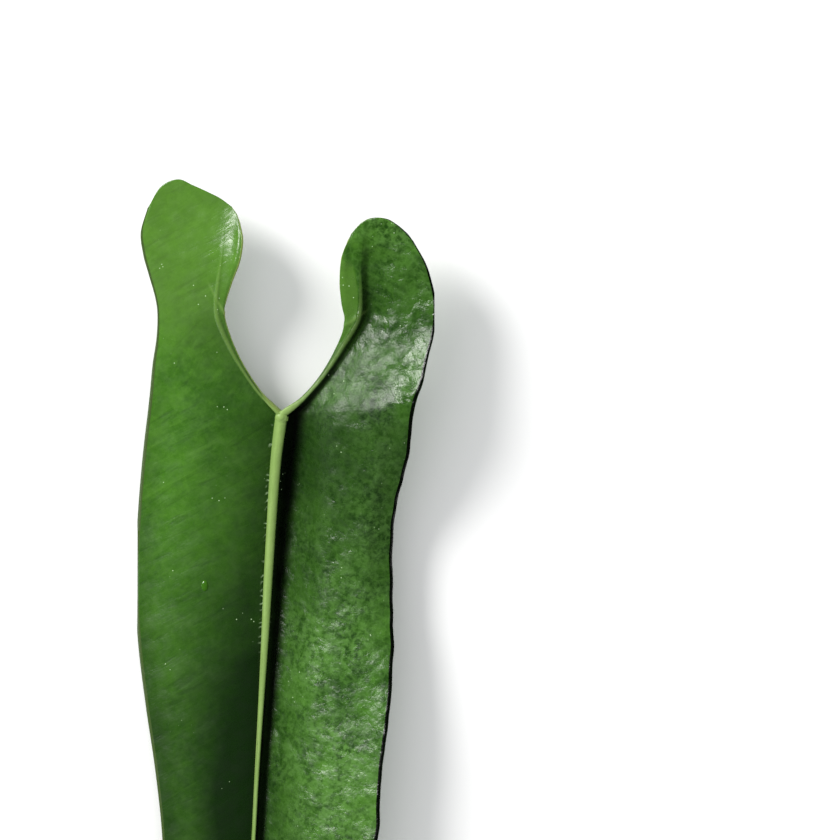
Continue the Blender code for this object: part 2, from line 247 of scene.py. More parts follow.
# Clouds of the skin's colour and grain: scale, detail, roughness and warp.
BLOTCH = (130.0, 6.0, 0.62, 0.5)
CRUMB = (520.0, 5.0, 0.68, 0.3)
PATCH = (48.0, 3.0, 0.5, 0.0)
LUMP = (75.0, 4.0, 0.5, 0.0)
STAIN = (210.0, 5.0, 0.6, 0.0)
STREAK = (300.0, 4.0, 0.6, 0.5)
WAVER = (70.0, 4.0, 0.55, 0.0)
GRIT = (240.0, 4.0, 0.6, 0.0)
PEBBLE = (420.0, 5.0, 0.65, 0.0)
DENT = (120.0, 3.0, 0.5, 0.0)
GRAIN = (1900.0, 3.0, 0.6, 0.0)
STREAK_SHORTENED = 0.24
NET_SCALE = 430.0
NET_WARP = 0.0012
SPECK_SCALE = 520.0
TICK_GLINTS_PER_METRE = 3100.0

STALK = [
    (-1.0, 90.9, 11.5), (-1.0, 90.9, 10.9), (-1.0, 90.8, 9.7), (-1.1, 90.4, 6.9),
    (-1.4, 88.6, 4.3), (-1.7, 85.4, 3.0), (-2.0, 81.6, 2.7),
]
STALK_RADIUS = 2.0
STALK_SWELL = [0.35, 0.8, 1.05, 1.0, 0.98, 1.0, 1.04]
CUT_DEPTH = 0.05

# The camera stands above the middle of the picture, whose sides are 252 mm long.
VIEW_MIDDLE = Vector((40.3, 90.7, 0.0))
VIEW_SIDE = 0.252
SENSOR = 36.0

# The lamp: where it aims, the way to it, its distance and its width in metres.
LAMP_AIM = Vector((0.0, 0.06, 0.01))
LAMP_TOWARD = Vector((-0.79 * 0.81, 0.61 * 0.81, 0.59))
LAMP_DISTANCE = 1.3
LAMP_WIDTH = 0.55
FLOOR_HALF = 6.0


def along(table, place):
    """Value of the smooth line through a table's rows at a place between them."""
    last = len(table) - 1
    start = min(max(int(place), 0), last - 1)
    part = place - start
    here = table[start]
    after = table[start + 1]
    before = table[start - 1] if start > 0 else 2 * here - after
    beyond = table[start + 2] if start + 2 <= last else 2 * after - here
    slope_here = (after - before) * 0.5
    slope_after = (beyond - here) * 0.5
    change = after - here
    square = part * part
    cube = square * part
    return (here + slope_here * part
            + (change * 3 - slope_here * 2 - slope_after) * square
            + (slope_here + slope_after - change * 2) * cube)


def eased(value):
    """Smooth step from 0 to 1."""
    value = min(max(value, 0.0), 1.0)
    return value * value * (3.0 - 2.0 * value)


def ripple(x, y, kind):
    """Soft noise of a given size, seed and height, in millimetres."""
    size, seed, height = kind
    return height * noise.noise(Vector((x / size, y / size, seed)))


def distance_to_line(spot, line):
    """Distance in plan from a spot to a line of points, and the share along it."""
    best = (1e9, 0.0)
    for index in range(len(line) - 1):
        start = Vector(line[index])
        step = Vector(line[index + 1]) - start
        part = (spot - start).dot(step) / step.length_squared
        part = min(max(part, 0.0), 1.0)
        gap = (spot - start - step * part).length
        best = min(best, (gap, (index + part) / (len(line) - 1)))
    return best


class Half:
    """One half of the blade: its lines, its waves and the relief of its skin."""

    def __init__(self, side, sinus, margin, end, swell, fold, hollow, inset):
        self.side = side
        self.midrib = [Vector(row) for row in MIDRIB]
        self.sinus = [self.midrib[-1]] + [Vector(row) for row in sinus]
        self.margin = [Vector(row) for row in margin]
        self.end = [Vector(row) for row in end]
        self.swell = swell
        self.fold = fold
        self.hollow = hollow
        self.inset = inset

    def set_row(self, place):
        """Works out what every spot of one row shares."""
        if place <= JUNCTION:
            self.inner = along(self.midrib, place)
        else:
            self.inner = along(self.sinus, place - JUNCTION)
        self.outer = along(self.margin, place)
        self.width = (self.outer - self.inner).length
        self.rib_half = min(along(RIB_HALF_WIDTH, place), 0.2 * self.width)
        self.rib_middle = max(0.0, along(self.inset, place))
        if place <= JUNCTION:
            self.rib_middle = 0.0
        self.rib_extra = max(0.0, along(RIB_EXTRA, place))
        self.swell_here = along(self.swell, place)
        self.fold_here = along(self.fold, place)
        self.hollow_here = max(0.0, along(self.hollow, place))
        self.floor_here = along(HOLLOW_FLOOR, place)
        self.reach_here = along(HOLLOW_REACH, place)
        self.ending = eased((place - END_STARTS) / (STATIONS - END_STARTS))
        foot = max(self.rib_middle - 1.15 * self.rib_half, 0.3 * self.rib_half)
        far = max(self.rib_middle, 0.0) + 1.2 * self.rib_half
        gaps = [foot * step / EDGE_COLUMNS for step in range(EDGE_COLUMNS)]
        for step in range(RIB_COLUMNS):
            gaps.append(foot + (far - foot) * step / (RIB_COLUMNS - 1))
        for step in range(1, BLADE_COLUMNS):
            part = (step / (BLADE_COLUMNS - 1)) ** SPREAD
            gaps.append(far + (self.width - far) * part)
        self.gaps = gaps

    def out(self, column):
        """Distance from the inner line of a column, which may lie between two."""
        start = min(int(column), len(self.gaps) - 2)
        return self.gaps[start] + (self.gaps[start + 1] - self.gaps[start]) * (
            column - start)

    def form(self, out):
        """Middle of the sheet before its fine relief."""
        share = out / self.width
        spot = self.inner.lerp(self.outer, share)
        chord = self.end[0].lerp(self.end[-1], share)
        curved = along(self.end, share * (len(self.end) - 1))
        spot += (curved - chord) * self.ending
        flat = FLAT_UNDER_RIB * self.rib_half
        past_rib = max(0.0, out - flat) / (self.width - flat)
        spot.z += self.swell_here * math.sin(math.pi * past_rib ** 0.75)
        spot.z += self.fold_here * self.ridge(share)
        past = out - self.rib_middle
        if past < self.floor_here:
            depth = eased(past / self.floor_here)
        else:
            depth = 1.0 - eased((past - self.floor_here) / self.reach_here)
        spot.z -= self.hollow_here * depth
        return spot

    def ridge(self, share):
        """Form of the fold: sharp where it stands up, round where it hangs."""
        before = eased(share / FOLD_AT)
        after = (share - FOLD_AT) / (1.0 - FOLD_AT)
        if self.fold_here >= 0.0:
            return before ** 2 if share < FOLD_AT else 1.0 - after
        if share < FOLD_AT:
            return math.sin(math.pi * 0.5 * before)
        return math.cos(math.pi * 0.5 * after)

    def rib(self, out):
        """1 on the crest of the rib, 0 off it."""
        across = (out - self.rib_middle) / self.rib_half
        return max(0.0, 1.0 - across * across) ** 0.6

    def pale(self, out, place):
        """How pale a spot is as part of a rib, from 0 to 1."""
        across = (out - self.rib_middle) / self.rib_half
        # On the right the pale colour stops short of the rib's edge, where the painted
        # shade of the fold covers the rib's flank.
        edge = 0.7 if self.side > 0 else 1.0
        whole = eased((edge - abs(across)) / 0.25)
        if self.side < 0:
            whole *= 1.0 - 0.4 * min(abs(across), 1.0)
        return max(0.0, along(RIB_PALE, place)) * whole

    def shade(self, out, place):
        """How much painted shade blackens a spot in the fold beside the rib, from 0 to 1.
        """
        past = out - self.rib_middle - self.rib_half * 0.5
        if self.side < 0 or past < 0.0:
            return 0.0
        reach = along(SHADE_WIDTH, place)
        start = eased(past / (0.3 * self.rib_half))
        return along(SHADE, place) * start * eased(
            1.0 - (past - reach * 0.55) / (reach * 0.95))

    def painted_shade(self, out, place):
        """How much painted shade darkens the green, from 0 to 1."""
        past = max(0.0, out - self.rib_middle - self.rib_half)
        if self.side > 0:
            near = eased(1.0 - past / (0.6 * self.width))
            whole = along(RIGHT_PAINTED_SHADE_ALL, place) + along(RIGHT_PAINTED_SHADE, place) * near
            strip = eased((self.rib_middle - out) / 1.2) * eased((place - 16.0) / 2.0)
            return whole * (1.0 - 0.8 * strip)
        near = eased(1.0 - past / (0.85 * self.width))
        shore = eased(1.0 - (self.width - out) / 9.0) * eased((16.0 - place) / 3.0)
        return (along(LEFT_PAINTED_SHADE_ALL, place) + along(LEFT_PAINTED_SHADE, place) * near
                + LEFT_SHORE_PAINTED_SHADE * shore)

    def skin_side(self, out, place):
        """Share of the way to the margin, below 0 where the skin is smooth."""
        if self.side > 0 and place > 16.0 and out < self.rib_middle:
            shown = eased((21.2 - place) / 1.6)
            smooth = eased((self.rib_middle - out) / 1.2) * shown
            return out / self.width * (1.0 - smooth) - 0.1 * smooth
        return self.side * out / self.width

    def relief(self, spot, out, place, sizes):
        """Height of the skin's fine relief in millimetres."""
        share = out / self.width
        clear = eased((abs(out - self.rib_middle) - self.rib_half) / 2.5)
        edge = eased((self.width - out) / 2.0)
        bend = ripple(spot.x, spot.y, VEIN_BEND)
        line = (spot.y + VEIN_SLOPE * out + bend) / VEIN_GAP
        nearness = abs(line - round(line)) * 2.0
        pillow = math.sqrt(nearness) - 0.62
        pillow *= 0.55 + abs(ripple(spot.x, spot.y, VEIN_CHANGE))
        body = eased((place - 0.5) / 3.0) * eased((19.0 - place) / 4.0)
        height = sizes.vein_relief / MM * pillow * clear * edge * body
        rough = 1.0 if self.side > 0 else LEFT_WRINKLE_SHARE
        height += sizes.wrinkle_relief / MM * rough * clear * (
            ripple(spot.x, spot.y, COARSE_WRINKLE)
            + ripple(spot.x, spot.y, FINE_WRINKLE))
        if self.side > 0:
            shore = eased((share - 0.72) / 0.28)
            height += shore * ripple(0.0, spot.y, LONG_WAVE)
            height += shore * shore * ripple(0.0, spot.y, SHORT_WAVE)
            from_fold = abs(share - FOLD_AT) * self.width
            height += CREASE_HEIGHT * max(0.0, self.fold_here) / CREASE_FULL_FOLD * (
                eased(1.0 - from_fold / CREASE_HALF))
        else:
            curl = max(0.0, 1.0 - out / CURL_REACH) ** 2
            height += CURL_HEIGHT * curl * eased((place - 19.5) / 1.5)
        for points, half in EAR_VEINS:
            gap, part = distance_to_line(Vector((spot.x, spot.y)), points)
            if gap < half * 2.0:
                rise = (1.0 - part) * eased(1.0 - gap / (half * 2.0))
                height += EAR_VEIN_HEIGHT * rise
        return height

    def sway(self, spot, out, place):
        """How far the right margin sways sideways, in millimetres."""
        if self.side < 0:
            return 0.0
        shore = eased(1.0 - (self.width - out) / 4.0) * eased((17.0 - place) / 3.0)
        return shore * ripple(0.0, spot.y, SIDE_WAVE)

    def thinned(self, out):
        """Share of the blade's thickness that is left near the margin."""
        return 1.0 - MARGIN_THINNED * eased(1.0 - (self.width - out) / MARGIN_REACH)


def ear_vein(spot):
    """How near a spot is to the small veins of the ears, from 0 to 1."""
    near = 0.0
    for points, half in EAR_VEINS:
        gap, part = distance_to_line(Vector((spot.x, spot.y)), points)
        near = max(near, (1.0 - part * part) * eased(1.0 - gap / half))
    return near


def left_half():
    return Half(-1, LEFT_SINUS, LEFT_MARGIN, LEFT_END, LEFT_SWELL, LEFT_FOLD,
                LEFT_HOLLOW, LEFT_INSET)


def right_half():
    return Half(1, RIGHT_SINUS, RIGHT_MARGIN, RIGHT_END, RIGHT_SWELL, RIGHT_FOLD,
                RIGHT_HOLLOW, RIGHT_INSET)


def add_half(sheet, half, sizes, layers, most):
    """Makes one half as a fine grid and moves its vertices onto the leaf."""
    rows = STATIONS * ROWS_PER_STATION
    made = bmesh.ops.create_grid(
        sheet, x_segments=COLUMNS, y_segments=rows, size=0.5)
    verts = sorted(made["verts"], key=lambda vert: vert.co.y)
    place = -1.0
    for vert in verts:
        column = (vert.co.x + 0.5) * COLUMNS
        here = (vert.co.y + 0.5) * STATIONS
        if here != place:
            place = here
            half.set_row(place)
        out = half.out(column)
        spot = half.form(out)
        rib = half.rib(out)
        spot.z += half.relief(spot, out, place, sizes)
        spot.x += half.sway(spot, out, place)
        thick = sizes.blade_thickness / MM * half.thinned(out) + half.rib_extra * rib
        vert[layers["weight"]][0] = thick / most
        vert[layers["rib"]] = max(half.pale(out, place), EAR_VEIN_PALE * ear_vein(spot))
        vert[layers["side"]] = half.skin_side(out, place)
        vert[layers["out"]] = out - half.rib_middle - half.rib_half
        vert[layers["edge"]] = half.width - out
        vert[layers["place"]] = place
        vert[layers["shade"]] = half.shade(out, place)
        vert[layers["painted_shade"]] = half.painted_shade(out, place)
        vert.co = (spot + MOVE) * MM


def build_sheet(sizes, most):
    """Mesh of the sheet's middle, with what its skin needs kept on its vertices."""
    sheet = bmesh.new()
    layers = {"weight": sheet.verts.layers.deform.verify()}
    for name in SKIN_LAYERS:
        layers[name] = sheet.verts.layers.float.new(name)
    add_half(sheet, left_half(), sizes, layers, most)
    add_half(sheet, right_half(), sizes, layers, most)
    bmesh.ops.remove_doubles(sheet, verts=sheet.verts, dist=0.000001)
    bmesh.ops.recalc_face_normals(sheet, faces=sheet.faces)
    up = sum((face.normal.z * face.calc_area() for face in sheet.faces), 0.0)
    if up < 0.0:
        bmesh.ops.reverse_faces(sheet, faces=sheet.faces)
    for face in sheet.faces:
        face.smooth = True
    mesh = bpy.data.meshes.new("sheet")
    sheet.to_mesh(mesh)
    sheet.free()
    return mesh


def finished_mesh(thing, name):
    """Mesh of an object with its modifiers worked out."""
    shown = thing.evaluated_get(bpy.context.evaluated_depsgraph_get())
    mesh = bpy.data.meshes.new_from_object(shown)
    mesh.name = name
    return mesh


def keep_in_box(mesh):
    """Presses the seat flat and keeps every vertex inside the solid's box."""
    for vert in mesh.vertices:
        if vert.co.z < SEAT * MM:
            vert.co.z = 0.0
        for axis in range(3):
            vert.co[axis] = min(max(vert.co[axis], CAD_LOW[axis]), CAD_HIGH[axis])


def add_piece(name, mesh):
    """Puts a finished piece in the scene in place of the solid."""
    piece = bpy.data.objects.new(name, mesh)
    bpy.context.scene.collection.objects.link(piece)
    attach(piece, "root")
    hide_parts("leaf")
    return piece


class Nodes:
    """Short way to add and join shader nodes."""

    def __init__(self, name):
        self.material = bpy.data.materials.new(name)
        self.material.use_nodes = True
        self.tree = self.material.node_tree
        self.shader = self.tree.nodes["Principled BSDF"]

    def join(self, source, target):
        self.tree.links.new(source, target)

    def feed(self, socket, value):
        if isinstance(value, bpy.types.NodeSocket):
            self.join(value, socket)
        else:
            socket.default_value = value

    def attribute(self, name):
        node = self.tree.nodes.new("ShaderNodeAttribute")
        node.attribute_name = name
        return node.outputs["Fac"]

    def place(self):
        node = self.tree.nodes.new("ShaderNodeTexCoord")
        return node.outputs["Object"]

    def place_y(self):
        node = self.tree.nodes.new("ShaderNodeSeparateXYZ")
        self.join(self.place(), node.inputs[0])
        return node.outputs["Y"]

    def stretched(self, scale):
        node = self.tree.nodes.new("ShaderNodeMapping")
        node.inputs["Scale"].default_value = scale
        self.join(self.place(), node.inputs["Vector"])
        return node.outputs["Vector"]

    def cloud(self, scale, detail=3.0, rough=0.5, warp=0.0, where=None):
        node = self.tree.nodes.new("ShaderNodeTexNoise")
        node.inputs["Scale"].default_value = scale
        node.inputs["Detail"].default_value = detail
        node.inputs["Roughness"].default_value = rough
        node.inputs["Distortion"].default_value = warp
        self.join(where or self.place(), node.inputs["Vector"])
        return node.outputs["Fac"]

    def cells(self, scale):
        node = self.tree.nodes.new("ShaderNodeTexVoronoi")
        node.inputs["Scale"].default_value = scale
        self.join(self.place(), node.inputs["Vector"])
        return node.outputs["Distance"]

    def net(self, scale):
        """Distance to the lines of a fine irregular net."""
        bend = self.tree.nodes.new("ShaderNodeTexNoise")
        bend.inputs["Scale"].default_value = scale * 1.5
        bend.inputs["Detail"].default_value = 2.0
        self.join(self.place(), bend.inputs["Vector"])
        shift = self.tree.nodes.new("ShaderNodeVectorMath")
        shift.operation = "MULTIPLY_ADD"
        shift.inputs[1].default_value = (NET_WARP, NET_WARP, NET_WARP)
        self.join(bend.outputs["Color"], shift.inputs[0])
        self.join(self.place(), shift.inputs[2])
        node = self.tree.nodes.new("ShaderNodeTexVoronoi")
        node.feature = "DISTANCE_TO_EDGE"
        node.inputs["Scale"].default_value = scale
        self.join(shift.outputs[0], node.inputs["Vector"])
        return node.outputs["Distance"]

    def math(self, kind, first, second=0.0, third=0.0):
        node = self.tree.nodes.new("ShaderNodeMath")
        node.operation = kind
        self.feed(node.inputs[0], first)
        self.feed(node.inputs[1], second)
        self.feed(node.inputs[2], third)
        return node.outputs[0]

    def span(self, value, low, high, to_low=0.0, to_high=1.0):
        node = self.tree.nodes.new("ShaderNodeMapRange")
        node.interpolation_type = "SMOOTHSTEP"
        self.feed(node.inputs["Value"], value)
        node.inputs["From Min"].default_value = low
        node.inputs["From Max"].default_value = high
        node.inputs["To Min"].default_value = to_low
        node.inputs["To Max"].default_value = to_high
        return node.outputs["Result"]

    def mix(self, share, first, second):
        node = self.tree.nodes.new("ShaderNodeMix")
        node.data_type = "RGBA"
        self.feed(node.inputs[0], share)
        self.feed(node.inputs[6], first)
        self.feed(node.inputs[7], second)
        return node.outputs[2]

    def bump(self, height, strength, depth, under=None):
        node = self.tree.nodes.new("ShaderNodeBump")
        node.inputs["Strength"].default_value = strength
        node.inputs["Distance"].default_value = depth
        self.join(height, node.inputs["Height"])
        if under is not None:
            self.join(under, node.inputs["Normal"])
        return node.outputs["Normal"]


def colour(value):
    """Colour of a property with full opacity."""
    return (value[0], value[1], value[2], 1.0)


def streaks(make, out):
    """Cloud drawn out along the side veins, which run out and toward the tip."""
    lying = make.tree.nodes.new("ShaderNodeCombineXYZ")
    across = make.math("MULTIPLY", out, STREAK_SHORTENED * MM)
    make.join(across, lying.inputs["X"])
    level = make.math("MULTIPLY_ADD", out, VEIN_SLOPE * MM, make.place_y())
    make.join(level, lying.inputs["Y"])
    return make.cloud(*STREAK, where=lying.outputs[0])


def marbled(make, look, right, side, vein):
    """Green of both halves with its blotches, its net and its streaks."""
    blotch = make.span(make.cloud(*BLOTCH), 0.36, 0.64)
    crumb = make.span(make.cloud(*CRUMB), 0.4, 0.62)
    patches = make.span(make.cloud(*PATCH), 0.32, 0.68)
    lumps = make.span(make.cloud(*LUMP), 0.4, 0.6)
    stains = make.span(make.cloud(*STAIN), 0.5, 0.32, 0.0, 0.4)

    left_tone = make.mix(patches, colour(look.left_deep), colour(look.left_green))
    flecks = make.math("MULTIPLY", crumb, 0.2)
    flecks = make.math("MULTIPLY_ADD", blotch, 0.22, flecks)
    left_tone = make.mix(flecks, left_tone, colour(look.left_light))
    left_tone = make.mix(stains, left_tone, colour(look.left_deep))

    marble = make.math("MULTIPLY", crumb, 0.22)
    marble = make.math("MULTIPLY_ADD", blotch, 0.5, marble)
    marble = make.math("MULTIPLY_ADD", lumps, 0.28, marble)
    # Right half: the leaf's own mottling in greens greyer than the left's, partly painted
    # sheen, with light patches of painted sheen.
    right_tone = make.mix(marble, colour(look.right_deep), colour(look.right_green_and_sheen))
    sheen_patches = make.math("MULTIPLY", make.math("MULTIPLY", patches, crumb), 0.7)
    right_tone = make.mix(sheen_patches, right_tone, colour(look.right_light_and_sheen))

    skin = make.mix(right, left_tone, right_tone)
    net = make.span(make.net(NET_SCALE), 0.16, 0.0)
    netted = make.math("MULTIPLY", net, make.span(side, -0.02, 0.1, 0.04, 0.2))
    skin = make.mix(netted, skin, colour(look.right_light_and_sheen))
    light = make.span(vein, 0.54, 0.7, 0.0, 0.34)
    skin = make.mix(light, skin, colour(look.left_light))
    dark = make.span(vein, 0.46, 0.3, 0.0, 0.4)
    return make.mix(dark, skin, colour(look.right_deep))


def speckled(make, look, skin, place):
    """Adds tiny pale specks, which lie in clusters and more often in the ears."""
    speck = make.span(make.cells(SPECK_SCALE), 0.11, 0.05)
    more = make.span(place, 16.0, 19.0, 0.0, 0.07)
    some = make.math("ADD", make.cloud(85.0, 2.0), more)
    some = make.span(some, 0.57, 0.65)
    return make.mix(make.math("MULTIPLY", speck, some), skin, colour(look.speck))


def tick_glints(make, out, place, right):
    """Painted highlights: short pale glints of small wrinkles on the left side of the
    midrib, at irregular steps.
    """
    uneven = make.math("MULTIPLY", make.cloud(260.0), 16.0)
    uneven = make.math("MULTIPLY_ADD", out, 2.2, uneven)
    beat = make.math("MULTIPLY_ADD", make.place_y(), TICK_GLINTS_PER_METRE, uneven)
    glint = make.span(make.math("SINE", beat), 0.35, 0.95)
    some = make.span(make.cloud(230.0, 3.0, 0.6), 0.45, 0.62)
    near = make.math("MULTIPLY", make.span(out, 1.1, 0.0), make.span(out, -0.5, -0.2))
    near = make.math("MULTIPLY", near, make.math("SUBTRACT", 1.0, right))
    near = make.math("MULTIPLY", near, make.span(place, 9.6, 10.6))
    near = make.math("MULTIPLY", near, make.span(place, 14.0, 13.8))
    glint = make.math("MULTIPLY", make.math("MULTIPLY", glint, some), near)
    return make.math("MULTIPLY", glint, 0.95)


def upper_roughness(make, right, side, edge, place):
    """Glossier ears and right margin, duller ribs and inner neck of the right ear."""
    grit = make.span(make.cloud(*GRIT), 0.3, 0.7, -0.07, 0.07)
    rough = make.math("ADD", grit, make.span(side, -0.02, 0.06, 0.30, 0.28))
    ribs = make.span(make.attribute("rib"), 0.2, 0.8, 0.0, 0.15)
    rough = make.math("ADD", rough, ribs)
    rough = make.math("ADD", rough, make.span(place, 17.0, 20.0, 0.0, -0.08))
    neck = make.math("MULTIPLY", make.span(place, 13.4, 14.2),
                     make.span(place, 17.4, 16.0))
    inner = make.math("MULTIPLY", neck, make.span(edge, 3.0, 14.0, -0.07, 0.14))
    return make.math("MULTIPLY_ADD", inner, right, rough)


def upper_grain(make, side, vein):
    """Leathery grain, coarser on the right half."""
    pebbles = make.math("MULTIPLY", make.cloud(*PEBBLE), make.span(
        side, -0.02, 0.06, 0.22, 1.0))
    dents = make.math("MULTIPLY", make.cloud(*DENT), make.span(
        side, -0.02, 0.06, 0.3, 1.0))
    coarse = make.bump(pebbles, 0.55, 0.0005, make.bump(dents, 0.7, 0.0014))
    fine = make.bump(make.cloud(*GRAIN), 0.3, 0.0001, coarse)
    return make.bump(vein, 0.35, 0.0004, fine)


def upper_skin(look):
    """Glossy leathery upper face, with pale ribs and a mottled right half."""
    make = Nodes("upper_skin")
    side = make.attribute("side")
    out = make.attribute("out")
    edge = make.attribute("edge")
    place = make.attribute("place")
    right = make.span(side, -0.02, 0.05)
    vein = streaks(make, out)
    skin = marbled(make, look, right, side, vein)
    ear = make.math("MULTIPLY", make.span(place, 14.5, 18.0, 0.0, 0.38),
                    make.math("SUBTRACT", 1.0, right))
    skin = make.mix(ear, skin, colour(look.ear))
    waver = make.math("MULTIPLY_ADD", make.cloud(*WAVER), 0.5, 0.75)
    # Painted shade: the green darkened beside the midrib and over parts of each half.
    painted_shade = make.math("MULTIPLY", make.attribute("painted_shade"), waver)
    skin = make.mix(painted_shade, skin, colour(look.painted_shade))
    # Painted shade: near black in the fold just right of the midrib and its rib.
    skin = make.mix(make.attribute("shade"), skin, colour(look.painted_fold_shade))
    skin = speckled(make, look, skin, place)
    streak = make.cloud(900.0, 2.0, where=make.stretched((1.0, 0.06, 1.0)))
    pale = make.mix(streak, colour(look.rib), colour(look.rib_light))
    skin = make.mix(make.attribute("rib"), skin, pale)
    # Painted highlights: pale glints beside the midrib.
    skin = make.mix(tick_glints(make, out, place, right), skin, colour(look.speck))
    # Margin line: pale on the left; on the right painted shade of the edge that turns from
    # the lamp.
    rimmed = make.mix(right, colour(look.margin), colour(look.painted_fold_shade))
    skin = make.mix(make.span(edge, 0.22, 0.1), skin, rimmed)
    make.join(skin, make.shader.inputs["Base Color"])
    rough = upper_roughness(make, right, side, edge, place)
    make.join(rough, make.shader.inputs["Roughness"])
    make.shader.inputs["IOR"].default_value = 1.45
    make.shader.inputs["Specular IOR Level"].default_value = look.gloss
    make.join(upper_grain(make, side, vein), make.shader.inputs["Normal"])
    return make.material


def under_skin(look):
    """Paler and duller lower face."""
    make = Nodes("under_skin")
    rib = make.attribute("rib")
    mottle = make.span(make.cloud(160.0, 4.0, 0.55), 0.3, 0.7)
    skin = make.mix(mottle, colour(look.under), colour(look.under_light))
    skin = make.mix(make.span(rib, 0.1, 0.75), skin, colour(look.rib))
    make.join(skin, make.shader.inputs["Base Color"])
    make.shader.inputs["Roughness"].default_value = 0.6
    grain = make.bump(make.cloud(700.0, 4.0, 0.6), 0.4, 0.0003)
    make.join(grain, make.shader.inputs["Normal"])
    return make.material


def margin_rim(look):
    """Thin edge of the leaf: brown in places on the left, pale in the sinus, and on the
    right darkened with painted shade."""
    make = Nodes("margin_rim")
    brown = make.span(make.cloud(90.0, 3.0), 0.58, 0.72)
    side = make.attribute("side")
    left = make.mix(brown, colour(look.margin), colour(look.brown))
    tone = make.mix(make.span(side, -0.6, -0.3), left, colour(look.lip))
    tone = make.mix(make.span(side, 0.3, 0.6), tone, colour(look.painted_shade))
    make.join(tone, make.shader.inputs["Base Color"])
    make.shader.inputs["Roughness"].default_value = 0.5
    make.shader.inputs["Specular IOR Level"].default_value = 0.15
    return make.material


def blister_skin(look):
    """Smooth tight skin of the blister."""
    make = Nodes("blister_skin")
    cloud = make.cloud(500.0, 2.0)
    tone = make.mix(cloud, colour(look.left_deep), colour(look.left_green))
    make.join(tone, make.shader.inputs["Base Color"])
    make.shader.inputs["Roughness"].default_value = 0.16
    make.shader.inputs["Specular IOR Level"].default_value = look.gloss
    return make.material


def stalk_skin(look):
    """Pale green stalk with fine lengthwise lines."""
    make = Nodes("stalk_skin")
    streak = make.cloud(700.0, where=make.stretched((1.0, 0.1, 1.0)))
    tone = make.mix(streak, colour(look.rib), colour(look.rib_light))
    make.join(tone, make.shader.inputs["Base Color"])
    make.shader.inputs["Roughness"].default_value = 0.45
    grain = make.bump(streak, 0.3, 0.0002)
    make.join(grain, make.shader.inputs["Normal"])
    return make.material


def cut_face(look):
    """Moist cut end, with the pale bundles that run up the stalk."""
    make = Nodes("cut_face")
    dots = make.span(make.cells(1500.0), 0.3, 0.12)
    tone = make.mix(dots, colour(look.rib_light), colour(look.brown))
    make.join(tone, make.shader.inputs["Base Color"])
    make.shader.inputs["Roughness"].default_value = 0.4
    return make.material


class LeafSizes(bpy.types.PropertyGroup):
    blade_thickness: bpy.props.FloatProperty(
        name="Blade Thickness", description="Thickness of the blade between its ribs",
        default=0.00076, min=0.0004, max=0.0015, precision=5, unit="LENGTH")
    vein_relief: bpy.props.FloatProperty(
        name="Vein Relief", description="Height of the swelling between side veins",
        default=0.00022, min=0.0, max=0.001, precision=5, unit="LENGTH")
    wrinkle_relief: bpy.props.FloatProperty(
        name="Wrinkle Relief", description="Height of the leathery wrinkles",
        default=0.00032, min=0.0, max=0.001, precision=5, unit="LENGTH")
    drop_height: bpy.props.FloatProperty(
        name="Blister Height", description="Height of the small blister on the skin",
        default=0.0006, min=0.0, max=0.002, precision=5, unit="LENGTH")


def tint(label, what, value):
    """Property for one colour."""
    return bpy.props.FloatVectorProperty(
        name=label, description=what, subtype="COLOR", size=3, min=0.0, max=1.0,
        default=value)


class LeafLook(bpy.types.PropertyGroup):
    left_green: tint("Left Green", "Main green, left half", (0.042, 0.142, 0.0080))
    left_deep: tint("Left Deep", "Darker green, left half", (0.026, 0.100, 0.0050))
    left_light: tint("Left Light", "Light flecks and veins", (0.085, 0.225, 0.022))
    # The right half's greens are greyer than the left's: partly the leaf's own colour,
    # partly painted sheen.
    right_green_and_sheen: tint("Right Green", "Light mottling, right", (0.060, 0.180, 0.016))
    right_deep: tint("Right Deep", "Dark mottling, right", (0.012, 0.050, 0.004))
    right_light_and_sheen: tint("Right Light", "Net of fine veins", (0.115, 0.270, 0.050))
    ear: tint("Ear", "Yellower green of the ears", (0.110, 0.225, 0.036))
    # Colour of the painted shade over the halves and on the right rim.
    painted_shade: tint("Deep", "Deep green beside the midrib", (0.006, 0.024, 0.003))
    # Near-black painted shade of the fold beside the midrib and of the right margin line.
    painted_fold_shade: tint("Groove", "Near black of the fold", (0.0010, 0.003, 0.0007))
    rib: tint("Rib", "Pale green of the ribs", (0.175, 0.300, 0.060))
    rib_light: tint("Rib Light", "Lightest green of the ribs", (0.265, 0.400, 0.110))
    lip: tint("Lip", "Pale line along the sinus", (0.200, 0.290, 0.060))
    margin: tint("Margin", "Thin pale line along the margin", (0.045, 0.080, 0.018))
    brown: tint("Brown", "Dry brown spots of the edge", (0.10, 0.055, 0.025))
    # Also the colour of the painted glints beside the midrib.
    speck: tint("Speck", "Tiny pale specks of the skin", (0.42, 0.58, 0.32))
    under: tint("Underside", "Dull green of the underside", (0.070, 0.165, 0.042))
    under_light: tint("Underside Light", "Lighter underside", (0.105, 0.22, 0.065))
    gloss: bpy.props.FloatProperty(
        name="Gloss", description="Strength of the skin's reflections",
        default=0.5, min=0.0, max=1.0, subtype="FACTOR")


class LeafStage(bpy.types.PropertyGroup):
    floor: tint("Floor", "Colour of the surface below", (0.86, 0.86, 0.86))
    key_power: bpy.props.FloatProperty(
        name="Key Power", description="Power of the large soft lamp, in watts",
        default=18.0, min=0.0, unit="POWER")
    sky: bpy.props.FloatProperty(
        name="Sky", description="Strength of the pale light from all round",
        default=0.85, min=0.0)
    camera_height: bpy.props.FloatProperty(
        name="Camera Height", description="Height of the camera above the surface",
        default=1.1, min=0.3, unit="LENGTH")


